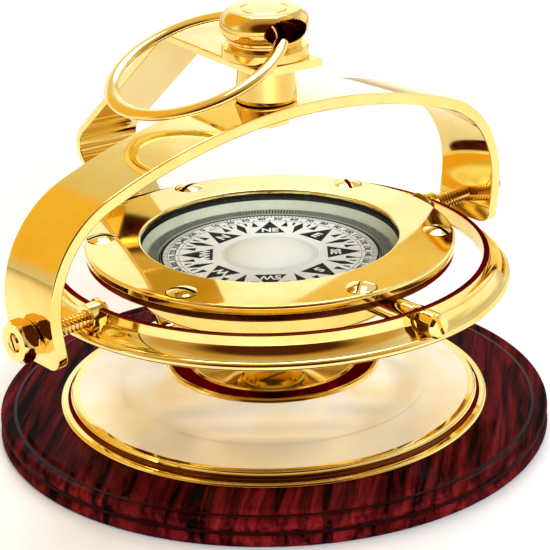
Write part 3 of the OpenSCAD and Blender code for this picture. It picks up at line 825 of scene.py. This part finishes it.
def make_bowl():
    low, high = map(in_mm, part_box("bowl"))
    axis = AXIS_Z / MM
    rim, top, foot = high[0], high[2], low[2]
    drum, drum_foot, under = 40.2, 43.0, top - 2.1
    ball, wall = 29.0, 1.6
    a_out = math.degrees(math.asin((axis - drum_foot) / ball))
    b_out = math.degrees(math.asin((axis - foot) / ball))
    neck = drum_foot + 1.7
    a_in = math.degrees(math.asin((axis - neck) / (ball - wall)))
    b_in = math.degrees(math.asin((axis - foot - wall) / (ball - wall)))
    shell = [(7.5, foot)] + arc((0, axis), ball, -b_out, -a_out, 24)
    shell += arc((drum - 1.6, drum_foot + 1.6), 1.6, -88, 0, 8)
    shell += arc((drum + 0.7, under - 0.7), 0.7, 180, 92, 5)
    shell += arc((rim - 0.6, under + 0.6), 0.6, -90, 0, 5)
    shell += [(rim, top - 0.2), (rim - 0.2, top), (38.5, top), (38.5, 53), (36.6, 53), (36.6, neck)]
    shell += arc((0, axis), ball - wall, -a_in, -b_in, 24) + [(7.5, foot + wall)]
    shell = turned("bowl", shell, "compass_bowl", CAST, steps=224, round_mm=0)
    # Painted dark reflection: the bowl flange below the bezel is dark brown.
    paint(shell, PAINTED_SHADE_AND_REFLECTION, lambda c, n: c.z > under - 0.1 and c.xy.length > drum + 3)
    for side, node in ((-1, "trunnion_front"), (1, "trunnion_rear")):
        low, high = map(in_mm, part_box(node))
        near, far = (-high[1], -low[1]) if side < 0 else (low[1], high[1])
        r = high[0]
        post = [(0, near, 0), (2.4, near, 0.2), (2.4, near + 1.2, 0.1), (r, near + 1.25, 0.2), (r, far, 0.5),
                (2.05, far, 0.2), (2.05, far - 6.6, 0.1), (0, far - 6.6, 0)]
        turned(node, post, "compass_bowl", BRASS, node, 64,
               place=at(0, 0, axis) @ facing((0, side, 0)))


SCREW_COUNT = 6
SCREW_RING = 49.9
SCREW_PHASE = 20.3
SLOT_TURNS = (66, 12, 150, 118, 38, 95)


def make_bezel():
    low, high = map(in_mm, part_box("bezel"))
    r, top, foot = high[0], high[2], low[2]
    opening = 38.6
    glass_top = in_mm(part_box("glass")[1])[2]
    ring = [(41.7, foot, 0), (r - 0.35, foot, 0.15), (r, foot + 0.35, 0.2)]
    ring += arc((r - 0.95, top - 0.95), 0.95, 0, 88, 8)
    ring += [(r - 2.4, top, 0.3)]
    ring += arc((opening + 0.7, top - 0.12), 0.75, 92, 175, 6)
    ring += [(opening, glass_top + 0.05, 0.05), (41.7, glass_top + 0.05, 0)]
    turned("bezel", ring, "compass_bowl", SHEET, steps=256, round_mm=0)
    low, high = map(in_mm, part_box("bezel_screws"))
    head_r, peak = 5.0, high[2]
    bm = bmesh.new()
    for i in range(SCREW_COUNT):
        c = polar(SCREW_RING, SCREW_PHASE + 360 * i / SCREW_COUNT)
        outline = [(0, low[2], 0), (1.6, low[2], 0.2), (1.6, top - 1.5, 0.2), (head_r, top + 0.12, 0.15)]
        outline += arc((0, peak - 9.2), 9.2, 61, 88, 12) + [(0, peak, 0)]
        head = fillet([(min(p[0], head_r + 0), *p[1:]) for p in outline], 0, 3)
        lathe_bm([(p[0] * MM, p[1] * MM) for p in head], 56, bm, at(c.x, c.y, 0))
    screws = new_object("bezel_screws", bm, "compass_bowl", BRASS, "bezel_screws")
    slots = bmesh.new()
    for i in range(SCREW_COUNT):
        c = polar(SCREW_RING, SCREW_PHASE + 360 * i / SCREW_COUNT)
        place = at(c.x, c.y, peak + 0.1) @ Matrix.Rotation(math.radians(SLOT_TURNS[i]), 4, "Z")
        made = bmesh.ops.create_cube(slots, size=1)
        bmesh.ops.transform(slots, verts=made["verts"],
                            matrix=place @ Matrix.Diagonal((12 * MM, 1.35 * MM, 2.9 * MM, 1)))
    cut_away(screws, [cutter(slots)], 0.0001)
    spots = [polar(SCREW_RING, SCREW_PHASE + 360 * i / SCREW_COUNT) for i in range(SCREW_COUNT)]

    def shaded(centre, normal):
        away = min((centre.xy - c).length for c in spots)
        in_slot = abs(normal.z) < 0.35 or centre.z < peak - 1.3 and normal.z > 0.97
        return centre.z > top - 0.3 and (away > head_r - 0.45 or in_slot)

    # Painted shade: a dark brown rim round each screw head and dark brown slot faces.
    paint(screws, PAINTED_SHADE_AND_REFLECTION, shaded)

    low, high = map(in_mm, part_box("glass"))
    turned("glass", [(0, low[2], 0), (high[0], low[2]), (high[0], high[2]), (0, high[2], 0)],
           "compass_bowl", GLASS, round_mm=0.2)
    low, high = map(in_mm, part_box("glass_gasket"))
    inner = low_radius("glass_gasket")
    glass_r, glass_low = in_mm(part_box("glass")[1])[0], in_mm(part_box("glass")[0])[2]
    turned("glass_gasket", [(inner, low[2], 0.2), (high[0], low[2], 0.1), (high[0], high[2], 0.1),
                            (glass_r + 0.1, high[2], 0.05), (glass_r + 0.1, glass_low - 0.05, 0.05),
                            (inner, glass_low - 0.05, 0.2)], "compass_bowl", GASKET)
    low, high = map(in_mm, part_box("bowl_liner"))
    turned("bowl_liner", [(37.35, low[2], 0), (high[0], low[2], 0), (high[0], high[2], 0),
                          (high[0] - 0.3, high[2], 0)], "compass_bowl", LINER, round_mm=0)


def low_radius(node):
    """Inner radius of a turned CAD node, in millimetres."""
    return min(math.hypot(v.co.x, v.co.y) for v in frame["nodes"][node].data.vertices) / MM


# ---------------------------------------------------------------- dial

NORTH = 95
INK_T = 0.04


def mark(bm, corners, z, thick=INK_T):
    """A printed mark: a thin prism on a flat outline, in millimetres."""
    low = [bm.verts.new(Vector((x, y, z)) * MM) for x, y in corners]
    high = [bm.verts.new(Vector((x, y, z + thick)) * MM) for x, y in corners]
    bm.faces.new(low[::-1])
    bm.faces.new(high)
    n = len(corners)
    for i in range(n):
        j = (i + 1) % n
        bm.faces.new((low[i], low[j], high[j], high[i]))


def radial(bm, bearing, r0, r1, w0, w1, z, thick=INK_T):
    """A mark that runs along a radius at a bearing, w0 wide at r0 and w1 wide at r1."""
    out = polar(1, NORTH - bearing)
    across = Vector((-out.y, out.x))
    mark(bm, [out * r0 - across * w0 / 2, out * r1 - across * w1 / 2,
              out * r1 + across * w1 / 2, out * r0 + across * w0 / 2], z, thick)


def wedge(bm, bearing, r0, r1, width, z):
    """A triangle on a radius with its point at r1."""
    out = polar(1, NORTH - bearing)
    across = Vector((-out.y, out.x))
    mark(bm, [out * r0 - across * width / 2, out * r1, out * r0 + across * width / 2], z)


def diamond(bm, bearing, r0, r1, width, z, waist=0.4):
    out = polar(1, NORTH - bearing)
    across = Vector((-out.y, out.x))
    mid = r0 + (r1 - r0) * waist
    mark(bm, [out * r0, out * mid - across * width / 2, out * r1, out * mid + across * width / 2], z)


def circle_line(bm, r, width, z, steps=180):
    line = [(r - width / 2, z), (r + width / 2, z), (r + width / 2, z + INK_T), (r - width / 2, z + INK_T)]
    lathe_bm([(x * MM, y * MM) for x, y in line], steps, bm)


def lettering(words, bm, z, thick=INK_T):
    """Adds text to a bmesh. Each word is (text, bearing, radius, size, stretch)."""
    for text, bearing, radius, size, bold in words:
        curve = bpy.data.curves.new("letters", "FONT")
        curve.body = text
        curve.size = size * MM
        curve.align_x = "CENTER"
        curve.align_y = "CENTER"
        curve.extrude = thick * MM / 2
        curve.offset = bold * MM
        curve.resolution_u = 3
        holder = bpy.data.objects.new("letters", curve)
        bpy.context.scene.collection.objects.link(holder)
        bpy.context.view_layer.update()
        mesh = bpy.data.meshes.new_from_object(holder.evaluated_get(bpy.context.evaluated_depsgraph_get()))
        spot = polar(radius, NORTH - bearing)
        turn = Matrix.Rotation(math.radians(NORTH - bearing - 90), 4, "Z")
        mesh.transform(at(spot.x, spot.y, z + thick / 2) @ turn)
        bm.from_mesh(mesh)
        bpy.data.objects.remove(holder)
        bpy.data.curves.remove(curve)
        bpy.data.meshes.remove(mesh)


def make_dial():
    low, high = map(in_mm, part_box("graduated_ring"))
    inner = low_radius("graduated_ring")
    ring_top = high[2]
    turned("graduated_ring", [(inner, low[2], 0), (high[0], low[2], 0), (high[0], ring_top, 0),
                              (inner, ring_top, 0.15)], "compass_bowl", DIAL_GREY, steps=200)
    bm = bmesh.new()
    for tick in range(240):
        reach = inner + (3.7 if tick % 10 == 0 else 3.1)
        radial(bm, tick * 1.5, inner + 0.3, reach, 0.4, 0.48, ring_top)
    circle_line(bm, inner + 0.3, 0.16, ring_top)
    new_object("graduations", bm, "compass_bowl", INK, None)

    low, high = map(in_mm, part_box("compass_card"))
    r, top = high[0], high[2]
    turned("compass_card", [(2, low[2], 0), (r, low[2]), (r, top), (2, top, 0)],
           "card", CARD_WHITE, steps=200, round_mm=0.12)
    bm = bmesh.new()
    circle_line(bm, r - 0.42, 0.72, top)
    circle_line(bm, r - 2.2, 0.12, top)
    circle_line(bm, r - 5.5, 0.12, top)
    for degree in range(0, 360, 2):
        reach = r - 2.2 if degree % 10 else r - 2.0
        radial(bm, degree, reach, r - 0.6, 0.22, 0.26, top)
    for degree in range(0, 360, 5):
        if degree % 10:
            radial(bm, degree, r - 5.3, r - 4.2, 0.22, 0.3, top)
    for point in range(32):
        bearing = point * 11.25
        if point % 4 == 0:
            wedge(bm, bearing, 17.2, 27.2, 9.4, top)
        elif point % 4 == 2:
            diamond(bm, bearing, 18.0, 27.0, 2.7, top, 0.6)
        else:
            wedge(bm, bearing, 23.0, 27.0, 2.2, top)
            radial(bm, bearing, 26.6, r - 5.6, 0.25, 0.25, top)
    numbers = [(str(d), d, r - 3.7, 2.7, 0.09) for d in range(0, 360, 10)]
    lettering(numbers, bm, top)
    for bearing in range(0, 360, 45):
        for side in (-1, 1):
            radial(bm, bearing + side * 17, 24.4, 26.6, 0.5, 0.9, top)
    new_object("card_printing", bm, "card", INK, None)
    bm = bmesh.new()
    names = ("N", "NE", "E", "SE", "S", "SW", "W", "NW")
    words = [(n, 45 * i, 19.5 if len(n) == 2 else 20.1, 4.2 if len(n) == 2 else 4.7, 0.13)
             for i, n in enumerate(names)]
    lettering(words, bm, top + INK_T)
    new_object("card_letters", bm, "card", CARD_WHITE, None)
    bm = bmesh.new()
    circle_line(bm, 14.25, 0.24, top)
    new_object("hub_line", bm, "card", LINER, None)

    low, high = map(in_mm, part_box("float_dome"))
    rim, base, peak = high[0], low[2], high[2]
    rise = peak - base
    ball = (rim * rim + rise * rise) / (2 * rise)
    half = math.degrees(math.asin(rim / ball))
    dome = [(0, base, 0), (rim - 0.1, base, 0), (rim, base + 0.12, 0)]
    dome += arc((0, peak - ball), ball, 90 - half + 0.8, 89.9, 30) + [(0, peak, 0)]
    turned("float_dome", dome, "card", MILKY, steps=160, round_mm=0)


# ---------------------------------------------------------------- stage, light and camera

def make_floor():
    bpy.ops.mesh.primitive_plane_add(size=60)
    floor = bpy.context.object
    floor.name = "floor"
    material, tree, shader = node_material("pale_floor")
    cloud = noise(tree, coordinates(tree), 3, 2)
    tree.links.new(ramp(tree, cloud, [(0.3, (0.85, 0.87, 0.93)), (0.7, (0.87, 0.89, 0.95))]),
                   shader.inputs["Base Color"])
    shader.inputs["Roughness"].default_value = 0.7
    shader.inputs["Specular IOR Level"].default_value = 0.1
    floor.data.materials.append(material)


def softbox(name, place, target, size, power, colour=(1, 1, 1), mirrored=True):
    light = bpy.data.lights.new(name, "AREA")
    light.shape = "RECTANGLE"
    light.size, light.size_y = size
    light.energy = power
    light.color = colour
    lamp = bpy.data.objects.new(name, light)
    bpy.context.scene.collection.objects.link(lamp)
    lamp.visible_glossy = mirrored
    lamp.location = place
    lamp.rotation_euler = (Vector(target) - Vector(place)).to_track_quat("-Z", "Y").to_euler()


def toward(tree, vector, azimuth, elevation, near, far):
    """1 within an angle `near` of a direction and 0 beyond `far`, in degrees."""
    a, e = math.radians(azimuth), math.radians(elevation)
    dot = add(tree, "ShaderNodeVectorMath", operation="DOT_PRODUCT")
    tree.links.new(vector, dot.inputs[0])
    dot.inputs[1].default_value = (math.cos(a) * math.cos(e), math.sin(a) * math.cos(e), math.sin(e))
    fade = add(tree, "ShaderNodeMapRange", interpolation_type="SMOOTHSTEP")
    fade.inputs["From Min"].default_value = math.cos(math.radians(far))
    fade.inputs["From Max"].default_value = math.cos(math.radians(near))
    tree.links.new(dot.outputs["Value"], fade.inputs["Value"])
    return fade.outputs["Result"]


def make_world():
    """A bright pale room: a gold drape to the left, a dark warm corner in front, dimmer overhead."""
    world = bpy.data.worlds.new("room")
    bpy.context.scene.world = world
    world.use_nodes = True
    tree = world.node_tree
    background = tree.nodes["Background"]
    where = add(tree, "ShaderNodeTexCoord").outputs["Generated"]
    cloud = add(tree, "ShaderNodeTexNoise", Scale=1.7, Detail=2.0, Roughness=0.5)
    tree.links.new(where, cloud.inputs["Vector"])
    sky = ramp(tree, cloud.outputs["Fac"], [(0.36, (0.78, 0.74, 0.66)), (0.62, (1.25, 1.25, 1.22))], True)
    sky = mixed(tree, toward(tree, where, 0, 90, 18, 40), sky, (0.6, 0.56, 0.5))
    sky = mixed(tree, toward(tree, where, 92, 50, 16, 36), sky, (0.8, 0.66, 0.36))
    sky = mixed(tree, toward(tree, where, 118, 35, 25, 36), sky, (0.98, 0.58, 0.08))
    sky = mixed(tree, toward(tree, where, 45, 0, 8, 18), sky, (1.9, 1.9, 1.85))
    sky = mixed(tree, toward(tree, where, 232, 16, 55, 82), sky, (0.6, 0.36, 0.1))
    sky = mixed(tree, toward(tree, where, 232, 22, 26, 48), sky, (0.08, 0.022, 0.007))
    tree.links.new(sky, background.inputs["Color"])
    background.inputs["Strength"].default_value = 1.0


VIEW_AZIMUTH = -39.91
VIEW_ELEVATION = 21.95
VIEW_ROLL = -1.40
VIEW_DISTANCE = 0.6226
VIEW_TARGET = Vector((0.0010, -0.0008, 0.0469))
VIEW_LENS = 135.29


def make_camera():
    a, e, r = (math.radians(v) for v in (VIEW_AZIMUTH, VIEW_ELEVATION, VIEW_ROLL))
    back = Vector((math.sin(a) * math.cos(e), -math.cos(a) * math.cos(e), math.sin(e)))
    right = (-back).cross(Vector((0, 0, 1))).normalized()
    up = right.cross(-back)
    across = right * math.cos(r) + up * math.sin(r)
    above = up * math.cos(r) - right * math.sin(r)
    data = bpy.data.cameras.new("camera")
    data.lens = VIEW_LENS
    data.sensor_width = 36
    data.clip_start = 0.01
    data.clip_end = 200
    camera = bpy.data.objects.new("camera", data)
    bpy.context.scene.collection.objects.link(camera)
    turn = Matrix((across, above, back)).transposed().to_4x4()
    camera.matrix_world = Matrix.Translation(VIEW_TARGET + back * VIEW_DISTANCE) @ turn
    bpy.context.scene.camera = camera


def make_stage():
    make_floor()
    make_world()
    softbox("top_panel", (0.5, 0.6, 1.5), (0, 0, 0), (0.9, 0.9), 14)
    softbox("front_fill", (-0.7, -1.2, 0.7), (0, 0, 0.03), (0.7, 0.7), 26, (0.96, 0.98, 1.0), False)
    bpy.context.scene.view_settings.view_transform = "Standard"


make_camera()
make_base()
make_arm()
make_top()
make_handle()
make_yoke()
make_yoke_fittings()
make_ring()
make_bowl()
make_bezel()
make_dial()
make_stage()
